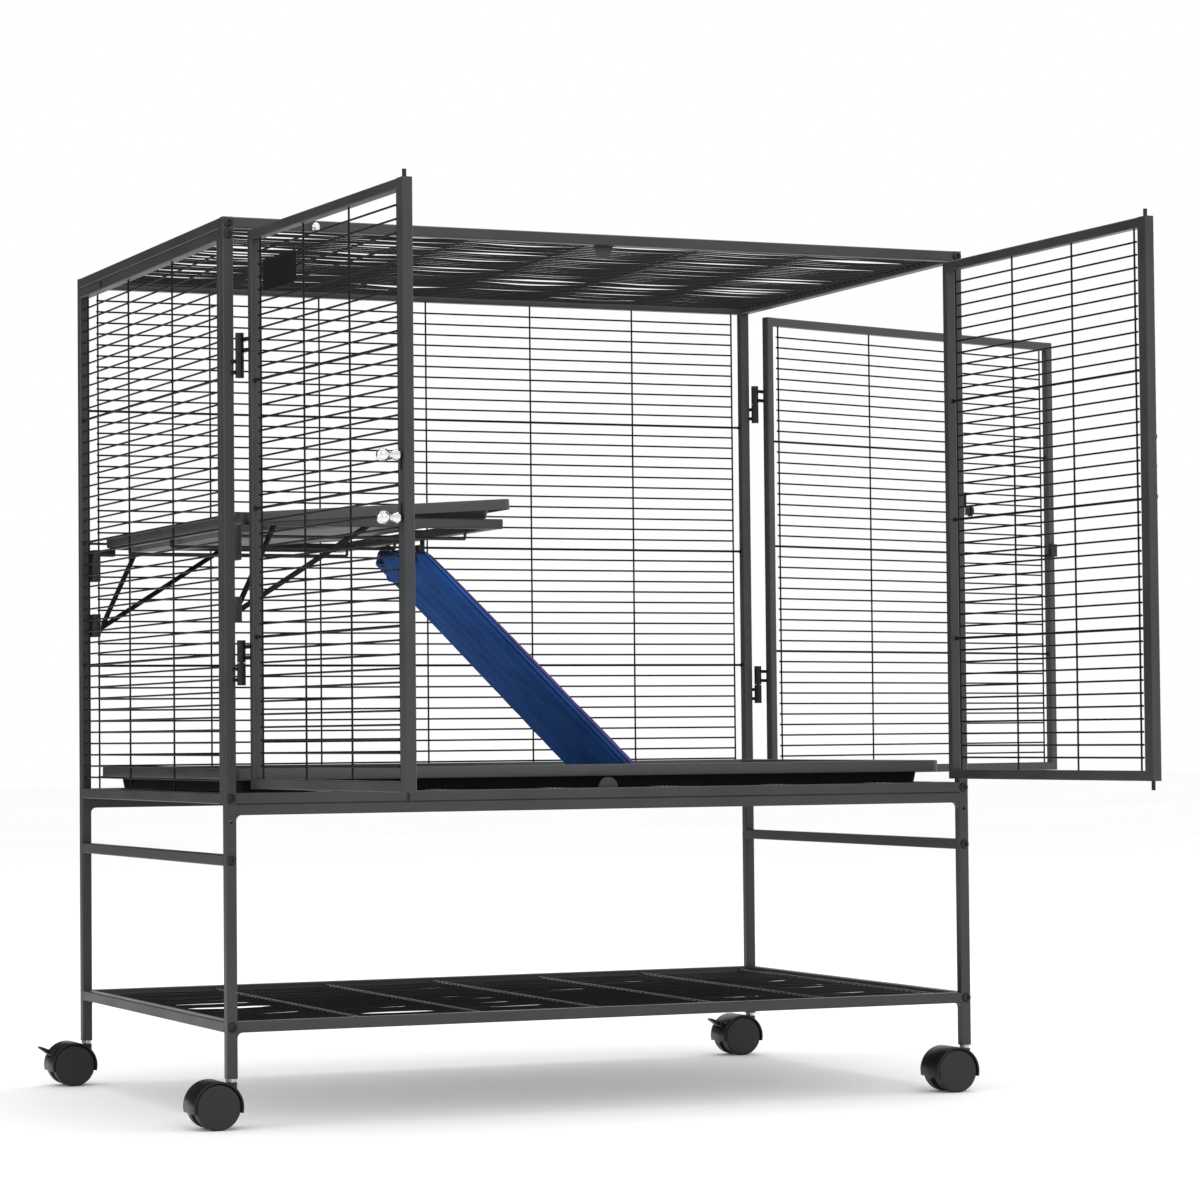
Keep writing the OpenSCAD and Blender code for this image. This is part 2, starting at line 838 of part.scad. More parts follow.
module hood(brake = false) {
    side = web_half + wheel_w + 0.8;
    difference() {
        union() {
            intersection() {
                difference() {
                    on_axle(hood_r, side);
                    on_axle(wheel_r + 0.8, side + 1);
                }
                translate([-trail - 40, -40, hood_low]) cube([80, 80, 60]);
            }
            intersection() {
                on_axle(hood_r, web_half);
                translate([-trail - 40, -20, 16]) cube([80, 40, 40]);
            }
            translate([0, 0, 16]) cylinder(h = leg_z - 4 - 16, r = web_half);
            on_axle(8, web_half);
            if (brake) for (s = [-1, 1]) translate([brake_u, s * 8.2, brake_z])
                rotate([90, 0, 0]) cylinder(h = 3, r = 3.6, center = true);
        }
        on_axle(axle_r + fit_gap, web_half + 1);
        translate([0, 0, 33.5]) cylinder(h = 30, r = stem_r + fit_gap);
        if (brake) translate([brake_u - 12, -6.6, brake_z - 5]) cube([16.5, 13.2, 20]);
    }
    if (brake) translate([brake_u, 0, brake_z]) rotate([90, 0, 0])
        cylinder(h = 15, r = 1.5, center = true);
}

// Wheel with a rounded rim, its inner side at the origin
module wheel() {
    w = wheel_w - 0.4;
    rotate_extrude() polygon([
        [0, 0], [wheel_r, 0], [wheel_r, w - 2], [wheel_r - 0.6, w - 0.7],
        [wheel_r - 2, w], [0, w]
    ]);
}

module wheels() {
    on_axle(axle_r, web_half + 2);
    for (s = [0, 1]) mirror([0, s, 0])
        translate([-trail, -web_half - 0.4, wheel_r]) rotate([90, 0, 0]) wheel();
}

// Pedal on the hood's back
module brake() {
    translate([brake_u, 0, brake_z]) difference() {
        hull() {
            rotate([90, 0, 0]) cylinder(h = 12.6, r = 3.4, center = true);
            translate([-13, 0, 7]) rotate([90, 0, 0]) cylinder(h = 12.6, r = 1.5, center = true);
        }
        rotate([90, 0, 0]) cylinder(h = 20, r = 1.5 + fit_gap, center = true);
    }
}

module front_left_hood() { color(black) at_corner(-1, -1) hood(); }
module front_right_hood() { color(black) at_corner(1, -1) hood(); }
module back_left_hood() { color(black) at_corner(-1, 1) hood(true); }
module back_right_hood() { color(black) at_corner(1, 1) hood(true); }
module front_left_wheels() { color(black) at_corner(-1, -1) wheels(); }
module front_right_wheels() { color(black) at_corner(1, -1) wheels(); }
module back_left_wheels() { color(black) at_corner(-1, 1) wheels(); }
module back_right_wheels() { color(black) at_corner(1, 1) wheels(); }
module back_left_brake() { color(black) at_corner(-1, 1) brake(); }
module back_right_brake() { color(black) at_corner(1, 1) brake(); }

front_stand_frame();
back_stand_frame();
stand_side_rails();
storage_shelf_rails();
storage_shelf_wires();
front_frame();
back_frame();
back_wires();
left_panel_frame();
left_panel_wires();
right_bottom_rail();
top_side_rails();
top_wires();
floor_wires();
door_stop_tabs();
frame_bolts();
post_connectors();
post_hinge_halves();
top_rail_stud();
floor_tray();
shelf_frame();
shelf_braces();
shelf_brackets();
shelf_tray();
ramp_board();
ramp_cover();
ramp_hooks();
left_door_frame();
left_door_wires();
left_door_hinges();
nameplate();
right_door_frame();
right_door_wires();
right_door_hinges();
right_door_stud();
side_door_frame();
side_door_wires();
side_door_hinges();
side_door_catch();
side_latch_pivot();
side_latch_turn();
left_upper_rod();
left_upper_knob();
left_lower_rod();
left_lower_knob();
right_upper_rod();
right_upper_knob();
right_lower_rod();
right_lower_knob();
caster_stems();
front_left_hood();
front_left_wheels();
front_right_hood();
front_right_wheels();
back_left_hood();
back_left_wheels();
back_left_brake();
back_right_hood();
back_right_wheels();
back_right_brake();
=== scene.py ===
"""Finishes, soft cover, bolts and welds of a wire ferret cage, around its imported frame."""
import json
import math

import bmesh
import bpy
from mathutils import Matrix, Vector

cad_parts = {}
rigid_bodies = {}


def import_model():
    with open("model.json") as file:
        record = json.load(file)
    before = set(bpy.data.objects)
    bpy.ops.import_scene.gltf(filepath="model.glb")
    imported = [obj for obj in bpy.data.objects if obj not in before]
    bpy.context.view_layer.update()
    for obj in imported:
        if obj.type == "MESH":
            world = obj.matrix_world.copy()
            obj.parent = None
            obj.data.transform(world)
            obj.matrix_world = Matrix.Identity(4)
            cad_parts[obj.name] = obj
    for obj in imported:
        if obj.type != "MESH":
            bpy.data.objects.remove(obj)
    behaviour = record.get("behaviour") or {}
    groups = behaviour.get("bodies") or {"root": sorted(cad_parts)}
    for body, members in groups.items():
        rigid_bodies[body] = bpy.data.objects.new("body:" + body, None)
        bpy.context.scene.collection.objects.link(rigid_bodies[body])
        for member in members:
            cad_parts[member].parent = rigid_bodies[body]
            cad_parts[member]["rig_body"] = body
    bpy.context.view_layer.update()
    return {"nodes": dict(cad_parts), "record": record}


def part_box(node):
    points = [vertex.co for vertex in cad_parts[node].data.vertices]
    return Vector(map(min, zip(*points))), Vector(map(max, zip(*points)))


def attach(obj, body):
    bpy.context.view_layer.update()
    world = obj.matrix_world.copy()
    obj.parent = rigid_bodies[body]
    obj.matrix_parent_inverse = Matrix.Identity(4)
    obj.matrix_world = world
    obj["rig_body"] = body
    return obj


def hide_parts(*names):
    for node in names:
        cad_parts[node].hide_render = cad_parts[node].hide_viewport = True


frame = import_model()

bl_info = {
    "name": "Ferret Cage",
    "version": (1, 0, 0),
    "blender": (4, 5, 0),
    "location": "3D Viewport > Sidebar > Cage",
    "description": "Finishes, ramp cover, bolts and welds of a wire ferret cage",
    "category": "Object",
}

MM = 0.001
NODE_SLOT = {part["node"]: part["material_slot"] for part in frame["record"]["subparts"]}


def linear(code):
    """Linear colour of an sRGB hex code, as a shader needs it."""
    parts = [int(code[i : i + 2], 16) / 255 for i in (1, 3, 5)]
    return tuple(p / 12.92 if p <= 0.04045 else ((p + 0.055) / 1.055) ** 2.4 for p in parts)


class CageFinish(bpy.types.PropertyGroup):
    """Colours and grain of the cage's finishes."""

    coat: bpy.props.FloatVectorProperty(
        name="Powder coat", description="Colour of the coated tubes and wires",
        default=linear("#303133"), subtype="COLOR", min=0, max=1)
    plastic: bpy.props.FloatVectorProperty(
        name="Tray plastic", description="Colour of the moulded trays",
        default=linear("#353637"), subtype="COLOR", min=0, max=1)
    nylon: bpy.props.FloatVectorProperty(
        name="Caster nylon", description="Colour of the casters' hoods",
        default=linear("#0f0f11"), subtype="COLOR", min=0, max=1)
    fleece_under: bpy.props.FloatVectorProperty(
        name="Fleece, under side", description="Colour of the ramp cover's under side and edges",
        default=linear("#28559b"), subtype="COLOR", min=0, max=1)
    fleece_top: bpy.props.FloatVectorProperty(
        name="Fleece, upper side", description="Colour of the ramp cover's upper side",
        default=linear("#4d3d78"), subtype="COLOR", min=0, max=1)
    coat_grain: bpy.props.FloatProperty(
        name="Coat grain", description="Size of the ripples in the powder coat",
        default=0.9 * MM, min=0.2 * MM, max=4 * MM, precision=4, subtype="DISTANCE", unit="LENGTH")
    pebble: bpy.props.FloatProperty(
        name="Tray pebble", description="Size of the moulded texture on the trays",
        default=1.1 * MM, min=0.3 * MM, max=4 * MM, precision=4, subtype="DISTANCE", unit="LENGTH")
    pile: bpy.props.FloatProperty(
        name="Fleece pile", description="Size of the tufts of the fleece",
        default=2.2 * MM, min=0.5 * MM, max=6 * MM, precision=4, subtype="DISTANCE", unit="LENGTH")


class CageSizes(bpy.types.PropertyGroup):
    """Sizes of the details that are added to the frame."""

    weld_r: bpy.props.FloatProperty(
        name="Weld", description="Radius of the weld where two wires cross",
        default=1.75 * MM, min=1 * MM, max=3 * MM, precision=4, subtype="DISTANCE", unit="LENGTH")
    socket_r: bpy.props.FloatProperty(
        name="Bolt socket", description="Corner radius of the hexagon in a bolt's head",
        default=2.3 * MM, min=1 * MM, max=3 * MM, precision=4, subtype="DISTANCE", unit="LENGTH")
    puff: bpy.props.FloatProperty(
        name="Cover puff", description="Furthest that the stuffing moves the ramp's cover",
        default=4 * MM, min=0, max=10 * MM, precision=4, subtype="DISTANCE", unit="LENGTH")


# ---- small helpers ----


def add(tree, kind, inputs=None, stops=(), **settings):
    """Adds one shader node with its settings, a colour ramp's stops, values and links."""
    made = tree.nodes.new(kind)
    for key, value in settings.items():
        setattr(made, key, value)
    for i, (position, colour) in enumerate(stops):
        colours = made.color_ramp.elements
        stop = colours[i] if i < 2 else colours.new(position)
        stop.position, stop.color = position, colour
    for key, value in (inputs or {}).items():
        if isinstance(value, bpy.types.NodeSocket):
            tree.links.new(value, made.inputs[key])
        else:
            made.inputs[key].default_value = value
    return made


def fade(value, at_0, at_1):
    """0 to 1 as value goes from at_0 to at_1, and level outside them."""
    return max(0.0, min(1.0, (value - at_0) / (at_1 - at_0)))


def rgba(colour, gain=1.0):
    """Shader colour of a finish, lighter or darker by gain."""
    return (*(min(1.0, c * gain) for c in colour), 1.0)


def new_material(name):
    """Empty material with its shader and output, and its Object coordinates."""
    mat = bpy.data.materials.new(name)
    mat.use_nodes = True
    tree = mat.node_tree
    tree.nodes.clear()
    out = add(tree, "ShaderNodeOutputMaterial")
    shader = add(tree, "ShaderNodeBsdfPrincipled")
    tree.links.new(shader.outputs[0], out.inputs[0])
    place = add(tree, "ShaderNodeTexCoord").outputs["Object"]
    return mat, tree, shader, place


def clear_selection():
    """Leaves edit mode and deselects everything."""
    if bpy.context.object and bpy.context.object.mode != "OBJECT":
        bpy.ops.object.mode_set(mode="OBJECT")
    bpy.ops.object.select_all(action="DESELECT")


def pick(obj):
    """Makes obj the one selected, active object."""
    clear_selection()
    obj.select_set(True)
    bpy.context.view_layer.objects.active = obj


def start(name, primitive, **settings):
    """Adds a primitive of bpy.ops.mesh as a new named object."""
    clear_selection()
    getattr(bpy.ops.mesh, primitive)(**settings)
    obj = bpy.context.object
    obj.name = obj.data.name = name
    return obj


def select_faces(obj, test):
    """In edit mode, selects the faces whose centre and normal pass the test."""
    mesh = bmesh.from_edit_mesh(obj.data)
    for part in (mesh.verts, mesh.edges, mesh.faces):
        for item in part:
            item.select = False
    for face in mesh.faces:
        if test(face.calc_center_median(), face.normal):
            face.select_set(True)
    mesh.select_flush(True)
    bmesh.update_edit_mesh(obj.data)


def modify(obj, kind, **settings):
    """Adds a modifier with its settings and applies it."""
    pick(obj)
    mod = obj.modifiers.new(kind.title(), kind)
    for key, value in settings.items():
        setattr(mod, key, value)
    bpy.ops.object.modifier_apply(modifier=mod.name)


def settle(obj, matrix=None):
    """Moves the object's place into its mesh, after a last move by matrix."""
    pick(obj)
    if matrix is not None:
        obj.matrix_world = matrix @ obj.matrix_world
    bpy.ops.object.transform_apply(location=True, rotation=True, scale=True)
    if matrix is not None and matrix.determinant() < 0:
        bpy.ops.object.mode_set(mode="EDIT")
        bpy.ops.mesh.select_all(action="SELECT")
        bpy.ops.mesh.normals_make_consistent(inside=False)
        bpy.ops.object.mode_set(mode="OBJECT")


def copy_of(obj, name):
    """Copy of an object with a mesh of its own."""
    made = obj.copy()
    made.data = obj.data.copy()
    made.name = made.data.name = name
    bpy.context.collection.objects.link(made)
    return made


def join(name, parts):
    """Joins parts into the first one, under a new name."""
    clear_selection()
    for part in parts:
        part.select_set(True)
    bpy.context.view_layer.objects.active = parts[0]
    bpy.ops.object.join()
    obj = bpy.context.object
    obj.name = obj.data.name = name
    return obj


def finish_piece(obj, material, body, slot, *nodes, angle=35):
    """Gives a piece its material, unless it has its own, and its body, and hides the nodes that
    it stands for; its slot is not used. Its surface is smooth across edges of up to angle degrees."""
    pick(obj)
    if material is not None:
        obj.data.materials.clear()
        obj.data.materials.append(material)
    bpy.ops.object.shade_smooth_by_angle(angle=math.radians(angle))
    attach(obj, body)
    if nodes:
        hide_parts(*nodes)


def moulded_copy(node, name, width):
    """Copy of a CAD node with its edges rounded off by width."""
    obj = copy_of(frame["nodes"][node], name)
    obj.parent = None
    for key in [k for k in obj.keys() if k.startswith("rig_")]:  # the copy is a piece of its own
        del obj[key]
    pick(obj)
    bpy.ops.object.mode_set(mode="EDIT")
    bpy.ops.mesh.select_all(action="SELECT")
    bpy.ops.mesh.remove_doubles(threshold=0.02 * MM)
    bpy.ops.mesh.dissolve_limited(angle_limit=math.radians(2))
    bpy.ops.object.mode_set(mode="OBJECT")
    modify(obj, "BEVEL", width=width, segments=2, limit_method="ANGLE",
           angle_limit=math.radians(30), harden_normals=False, use_clamp_overlap=True)
    return obj


# ---- finishes: a pattern's scale is 1 over its size in metres, so 11 is 90 mm ----


def powder_coat(name, colour, grain, rough, shine):
    """Powder coat baked on steel: a thin orange-peel ripple and a soft sheen that turns uneven
    in clouds 90 mm wide, where the powder lay thicker, with fine specks six grains apart."""
    mat, tree, shader, place = new_material(name)
    cloud = add(tree, "ShaderNodeTexNoise", {"Vector": place, "Scale": 11.0, "Detail": 3.0})
    fine = add(tree, "ShaderNodeTexNoise", {"Vector": place, "Scale": 1 / grain, "Detail": 2.0})
    speck = add(tree, "ShaderNodeTexVoronoi", {"Vector": place, "Scale": 0.16 / grain})
    specks = add(tree, "ShaderNodeMath", {0: speck.outputs["Distance"], 1: 0.07},
                 operation="LESS_THAN")
    base = add(tree, "ShaderNodeValToRGB", {0: cloud.outputs["Fac"]},
               stops=[(0.3, rgba(colour, 0.86)), (0.7, rgba(colour, 1.14))])
    tint = add(tree, "ShaderNodeMix", {"Factor": specks.outputs[0], "A": base.outputs[0],
                                       "B": rgba(colour, 1.8)}, data_type="RGBA")
    tree.links.new(tint.outputs["Result"], shader.inputs["Base Color"])
    gloss = add(tree, "ShaderNodeMapRange", {"Value": cloud.outputs["Fac"], "From Min": 0.25,
                                             "From Max": 0.75, "To Min": rough - 0.07,
                                             "To Max": rough + 0.07})
    tree.links.new(gloss.outputs[0], shader.inputs["Roughness"])
    peel = add(tree, "ShaderNodeBump", {"Height": fine.outputs["Fac"], "Strength": 0.16,
                                        "Distance": 0.12 * MM})
    tree.links.new(peel.outputs[0], shader.inputs["Normal"])
    shader.inputs["IOR"].default_value = 1.5
    shader.inputs["Specular IOR Level"].default_value = shine
    return mat


def black_oxide(name, colour):
    """Black-oxide steel of bolts: nearly black, a dull metal glint, with brighter patches 6 mm
    wide where a key has rubbed. Its pits are drawn 0.8 mm wide, coarser than real, to show."""
    mat, tree, shader, place = new_material(name)
    rub = add(tree, "ShaderNodeTexNoise", {"Vector": place, "Scale": 160.0, "Detail": 4.0})
    base = add(tree, "ShaderNodeValToRGB", {0: rub.outputs["Fac"]},
               stops=[(0.42, rgba(colour)), (0.68, rgba(colour, 1.9))])
    tree.links.new(base.outputs[0], shader.inputs["Base Color"])
    gloss = add(tree, "ShaderNodeMapRange", {"Value": rub.outputs["Fac"], "To Min": 0.5,
                                             "To Max": 0.26})
    tree.links.new(gloss.outputs[0], shader.inputs["Roughness"])
    pits = add(tree, "ShaderNodeTexNoise", {"Vector": place, "Scale": 1300.0})
    bump = add(tree, "ShaderNodeBump", {"Height": pits.outputs["Fac"], "Strength": 0.2,
                                        "Distance": 0.08 * MM})
    tree.links.new(bump.outputs[0], shader.inputs["Normal"])
    shader.inputs["Metallic"].default_value = 0.55
    return mat


def plated(name, colour, rough, streak):
    """Bright plating on turned steel: mirror-like, a film clouded every 4 mm, and faint marks
    of the lathe in the gloss, drawn 0.4 mm wide, coarser than real, to show."""
    mat, tree, shader, place = new_material(name)
    film = add(tree, "ShaderNodeTexNoise", {"Vector": place, "Scale": 240.0, "Detail": 3.0})
    base = add(tree, "ShaderNodeValToRGB", {0: film.outputs["Fac"]},
               stops=[(0.3, rgba(colour, 0.9)), (0.7, rgba(colour))])
    tree.links.new(base.outputs[0], shader.inputs["Base Color"])
    rings = add(tree, "ShaderNodeTexNoise", {"Vector": place, "Scale": 2600.0})
    gloss = add(tree, "ShaderNodeMapRange", {"Value": rings.outputs["Fac"], "To Min": rough,
                                             "To Max": rough + streak})
    tree.links.new(gloss.outputs[0], shader.inputs["Roughness"])
    shader.inputs["Metallic"].default_value = 1.0
    return mat


def moulded_plastic(name, colour, grain, rough, depth, shine=0.5):
    """Injection-moulded plastic: a pebbled skin, one grain wide, from the etched mould, a satin
    sheen and faint flow clouds 110 mm wide."""
    mat, tree, shader, place = new_material(name)
    flow = add(tree, "ShaderNodeTexNoise", {"Vector": place, "Scale": 9.0, "Detail": 4.0,
                                            "Distortion": 0.6})
    base = add(tree, "ShaderNodeValToRGB", {0: flow.outputs["Fac"]},
               stops=[(0.3, rgba(colour, 0.84)), (0.72, rgba(colour, 1.16))])
    tree.links.new(base.outputs[0], shader.inputs["Base Color"])
    gloss = add(tree, "ShaderNodeMapRange", {"Value": flow.outputs["Fac"], "From Min": 0.3,
                                             "From Max": 0.7, "To Min": rough - 0.05,
                                             "To Max": rough + 0.06})
    tree.links.new(gloss.outputs[0], shader.inputs["Roughness"])
    skin = add(tree, "ShaderNodeTexVoronoi", {"Vector": place, "Scale": 1 / grain},
               feature="SMOOTH_F1")
    bump = add(tree, "ShaderNodeBump", {"Height": skin.outputs["Distance"], "Strength": 0.3,
                                        "Distance": depth})
    tree.links.new(bump.outputs[0], shader.inputs["Normal"])
    shader.inputs["IOR"].default_value = 1.49
    shader.inputs["Specular IOR Level"].default_value = shine
    return mat


def fleece(name, colour, pile):
    """Brushed polyester fleece: short tufted pile, drawn coarser than real to show, that shades
    darker in its hollows and in worn patches 60 mm wide, and catches a pale fuzz of light at
    the folds and edges."""
    mat, tree, shader, place = new_material(name)
    tufts = add(tree, "ShaderNodeTexNoise", {"Vector": place, "Scale": 1 / pile, "Detail": 5.0,
                                             "Roughness": 0.68})
    wear = add(tree, "ShaderNodeTexNoise", {"Vector": place, "Scale": 16.0, "Detail": 2.0})
    mixed = add(tree, "ShaderNodeMath", {0: tufts.outputs["Fac"], 1: wear.outputs["Fac"]},
                operation="ADD")
    half = add(tree, "ShaderNodeMath", {0: mixed.outputs[0], 1: 0.5}, operation="MULTIPLY")
    base = add(tree, "ShaderNodeValToRGB", {0: half.outputs[0]},
               stops=[(0.36, rgba(colour, 0.62)), (0.5, rgba(colour)),
                      (0.66, rgba(colour, 1.35))])
    tree.links.new(base.outputs[0], shader.inputs["Base Color"])
    bump = add(tree, "ShaderNodeBump", {"Height": tufts.outputs["Fac"], "Strength": 0.75,
                                        "Distance": 0.9 * MM})
    tree.links.new(bump.outputs[0], shader.inputs["Normal"])
    shader.inputs["Roughness"].default_value = 0.95
    shader.inputs["Sheen Weight"].default_value = 0.35
    shader.inputs["Sheen Roughness"].default_value = 0.45
    shader.inputs["Sheen Tint"].default_value = rgba(colour, 2.4)
    shader.inputs["Specular IOR Level"].default_value = 0.2
    return mat


def hardboard(name, colour):
    """Black fibreboard: a matt pressed face with fibres 2.4 mm wide and three times as long."""
    mat, tree, shader, place = new_material(name)
    stretch = add(tree, "ShaderNodeMapping", {"Vector": place, "Scale": (0.35, 1.0, 1.0)})
    fibre = add(tree, "ShaderNodeTexNoise", {"Vector": stretch.outputs[0], "Scale": 420.0,
                                             "Detail": 4.0})
    base = add(tree, "ShaderNodeValToRGB", {0: fibre.outputs["Fac"]},
               stops=[(0.35, rgba(colour, 0.7)), (0.7, rgba(colour, 1.5))])
    tree.links.new(base.outputs[0], shader.inputs["Base Color"])
    bump = add(tree, "ShaderNodeBump", {"Height": fibre.outputs["Fac"], "Strength": 0.3,
                                        "Distance": 0.15 * MM})
    tree.links.new(bump.outputs[0], shader.inputs["Normal"])
    shader.inputs["Roughness"].default_value = 0.8
    return mat


def finishes():
    """The cage's materials, made once and kept by name."""
    look = bpy.context.scene.cage_finish
    coat, grain, pebble = tuple(look.coat), look.coat_grain, look.pebble
    wire_coat = [c * 0.2 for c in coat]
    makers = {
        # finish: (how it is made, its colour, grain size, roughness, grain depth and shine)
        # satin tubes, nearly black thin wires, and thick wires across them, glossier and in the
        # tubes' lighter colour as a painted highlight
        "powder_coated_tube": (powder_coat, coat, grain, 0.4, 0.38),
        "powder_coated_wire": (powder_coat, wire_coat, grain * 0.7, 0.45, 0.12),
        # the cross wires: the thin wires' coat, glossier, but five times lighter, a painted
        # highlight
        "glossy_coated_cross_wire": (powder_coat, coat, grain * 0.7, 0.26, 0.9),
        # fittings: black bolts and hinges, mirror-bright knobs, and duller, greyer zinc
        "black_oxide_bolt_steel": (black_oxide, linear("#1b1b1d")),
        "black_coated_hinge_steel": (powder_coat, linear("#0e0e0f"), grain * 0.8, 0.4, 0.3),
        "chrome_plated_steel": (plated, linear("#dcdee0"), 0.05, 0.06),
        "zinc_plated_steel": (plated, linear("#b9bbb8"), 0.28, 0.12),
        # plastics: satin pebbled trays, their foot near-black and matt as painted shade under the
        # rim, brackets, casters and duller wheels
        "pebbled_tray_polypropylene": (moulded_plastic, tuple(look.plastic), pebble, 0.44,
                                       0.25 * MM),
        # the floor tray's foot: near-black matt plastic, painted shade under the rim
        "matt_tray_underside": (moulded_plastic, linear("#0b0b0c"), pebble, 0.75, 0.25 * MM, 0.08),
        "satin_bracket_nylon": (moulded_plastic, linear("#1d1d1f"), 0.8 * MM, 0.42, 0.08 * MM),
        "satin_caster_nylon": (moulded_plastic, tuple(look.nylon), 0.9 * MM, 0.34, 0.05 * MM,
                               0.32),
        "matt_wheel_nylon": (moulded_plastic, linear("#0b0b0c"), 0.7 * MM, 0.55, 0.08 * MM),
        # the ramp's soft cover, its thread, and the board in it
        "blue_fleece": (fleece, tuple(look.fleece_under), look.pile),
        "violet_fleece": (fleece, tuple(look.fleece_top), look.pile),
        "dark_sewing_thread": (fleece, linear("#1a1c33"), 0.6 * MM),
        "black_hardboard": (hardboard, linear("#2b2b2e")),
        "dark_lacquered_plate": (powder_coat, linear("#0c0c0d"), grain * 0.6, 0.6, 0.12),
    }
    for name, (make, *values) in makers.items():
        if name not in bpy.data.materials:
            make(name, *values)
    return bpy.data.materials


# ---- places of the doors and the ramp, as in the frame ----

DOORS = {
    # door: (x and y of its hinge in mm, its turn in degrees, whether it is a mirror image)
    "left_door": (-440.2, -305.5, -87, False),
    "right_door": (440.2, -305.5, 92, True),
    "side_door": (462.5, 283.2, 198, True),
}


def door_place(name):
    """Matrix from a door's own axes, +X to its free edge and +Y inwards, to the cage's."""
    x, y, turn, mirrored = DOORS[name]
    place = Matrix.Translation((x * MM, y * MM, 0)) @ Matrix.Rotation(math.radians(turn), 4, "Z")
    return place @ Matrix.Scale(-1, 4, Vector((1, 0, 0))) if mirrored else place


SLOPE = math.radians(43.8)
RAMP_PIVOT = Vector((-127.5, 46, 646)) * MM


def ramp_place():
    """Matrix from the ramp's own axes, +X down the slope, to the cage's."""
    return Matrix.Translation(RAMP_PIVOT) @ Matrix.Rotation(SLOPE, 4, "Y")


# ---- operators ----


class CAGE_OT_stage(bpy.types.Operator):
    """Adds the floor, the lights and the camera"""

    bl_idname = "cage.stage"
    bl_label = "Stage"

    def execute(self, context):
        floor = start("studio_floor", "primitive_plane_add", size=60)
        settle(floor)
        floor.data.materials.append(self.sheet("pale_studio_paper", "#fbfbfb", "#fefefe"))
        # a dark card behind, out of view, that shows only as a reflection in the left faces
        card = start("reflection_card", "primitive_plane_add", size=5, location=(-1.9, 3.7, 2.5),
                     rotation=(math.pi / 2, 0, math.radians(23)))
        settle(card)
        card.visible_camera = card.visible_diffuse = card.visible_shadow = False
        card.data.materials.append(self.sheet("dark_studio_card", "#3a3a3a", "#404040"))

        world = context.scene.world or bpy.data.worlds.new("studio")
        context.scene.world = world
        world.use_nodes = True
        world.node_tree.nodes.clear()
        sky = add(world.node_tree, "ShaderNodeBackground",
                  {"Color": (1, 1, 1, 1), "Strength": 1.0})
        add(world.node_tree, "ShaderNodeOutputWorld", {"Surface": sky.outputs[0]})

        target = Vector((0, 0, 0.55))  # the middle of the cage, which every light faces
        for name, place, size, power in (
            ("left_softbox", (-4.2, -0.6, 2.2), 2.6, 25),
            ("front_softbox", (-0.4, -5.0, 3.4), 3.0, 60),
            ("top_softbox", (0.6, 0.4, 4.6), 3.2, 60),
            ("right_fill", (4.4, -2.4, 1.8), 2.4, 15),
        ):
            light = bpy.data.lights.new(name, "AREA")
            light.shape, light.size, light.energy = "SQUARE", size, power
            lamp = bpy.data.objects.new(name, light)
            context.collection.objects.link(lamp)
            lamp.location = place
            lamp.rotation_euler = (target - Vector(place)).to_track_quat("-Z", "Y").to_euler()

        lens = bpy.data.cameras.new("photo_view")
        camera = bpy.data.objects.new("photo_view", lens)
        context.collection.objects.link(camera)
        # the photograph's view: turned right, a little up, and hardly rolled
        eye = Vector((-1679.7, -4197.0, 421.5)) * MM
        turn, rise, roll = (math.radians(a) for a in (-23.15, 2.08, -0.54))
        look = Matrix.Rotation(turn, 4, "Z") @ Matrix.Rotation(math.pi / 2 + rise, 4, "X")
        camera.matrix_world = Matrix.Translation(eye) @ look @ Matrix.Rotation(roll, 4, "Z")
        lens.lens, lens.sensor_width = 112.25, 36
        lens.clip_start, lens.clip_end = 0.1, 60
        context.scene.camera = camera
        context.scene.view_settings.view_transform = "Standard"
        return {"FINISHED"}

    def sheet(self, name, low, high):
        """Matt paper or card, its tone a little uneven in clouds over a metre wide."""
        mat, tree, shader, place = new_material(name)
        tone = add(tree, "ShaderNodeTexNoise", {"Vector": place, "Scale": 0.7, "Detail": 2.0})
        base = add(tree, "ShaderNodeValToRGB", {0: tone.outputs["Fac"]},
                   stops=[(0.3, rgba(linear(low))), (0.7, rgba(linear(high)))])
        tree.links.new(base.outputs[0], shader.inputs["Base Color"])
        shader.inputs["Roughness"].default_value = 0.85
        shader.inputs["Specular IOR Level"].default_value = 0.2
        return mat


SLOT_FINISH = {
    "frame_steel": "powder_coated_tube",
    "wire_steel": "powder_coated_wire",
    "black_fastener": "black_oxide_bolt_steel",
    "hinge_steel": "black_coated_hinge_steel",
    "chrome": "chrome_plated_steel",
    "zinc_steel": "zinc_plated_steel",
    "black_plastic": "pebbled_tray_polypropylene",
    "ramp_board": "black_hardboard",
    "ramp_fabric": "blue_fleece",
    "plate": "dark_lacquered_plate",
    "caster_plastic": "satin_caster_nylon",
    "wheel_plastic": "matt_wheel_nylon",
}
OWN_FINISH = {"shelf_brackets": "satin_bracket_nylon"}


class CAGE_OT_finishes(bpy.types.Operator):
    """Gives every frame node its finish"""

    bl_idname = "cage.finishes"
    bl_label = "Frame finishes"

    def execute(self, context):
        mats = finishes()
        for name, obj in frame["nodes"].items():
            finish = OWN_FINISH.get(name) or SLOT_FINISH.get(NODE_SLOT.get(name, ""))
            if finish is None:
                raise RuntimeError(f"no finish for {name}")
            if not obj.material_slots:
                obj.data.materials.append(mats[finish])
            for slot in obj.material_slots:
                slot.link = "OBJECT"
                slot.material = mats[finish]
        return {"FINISHED"}


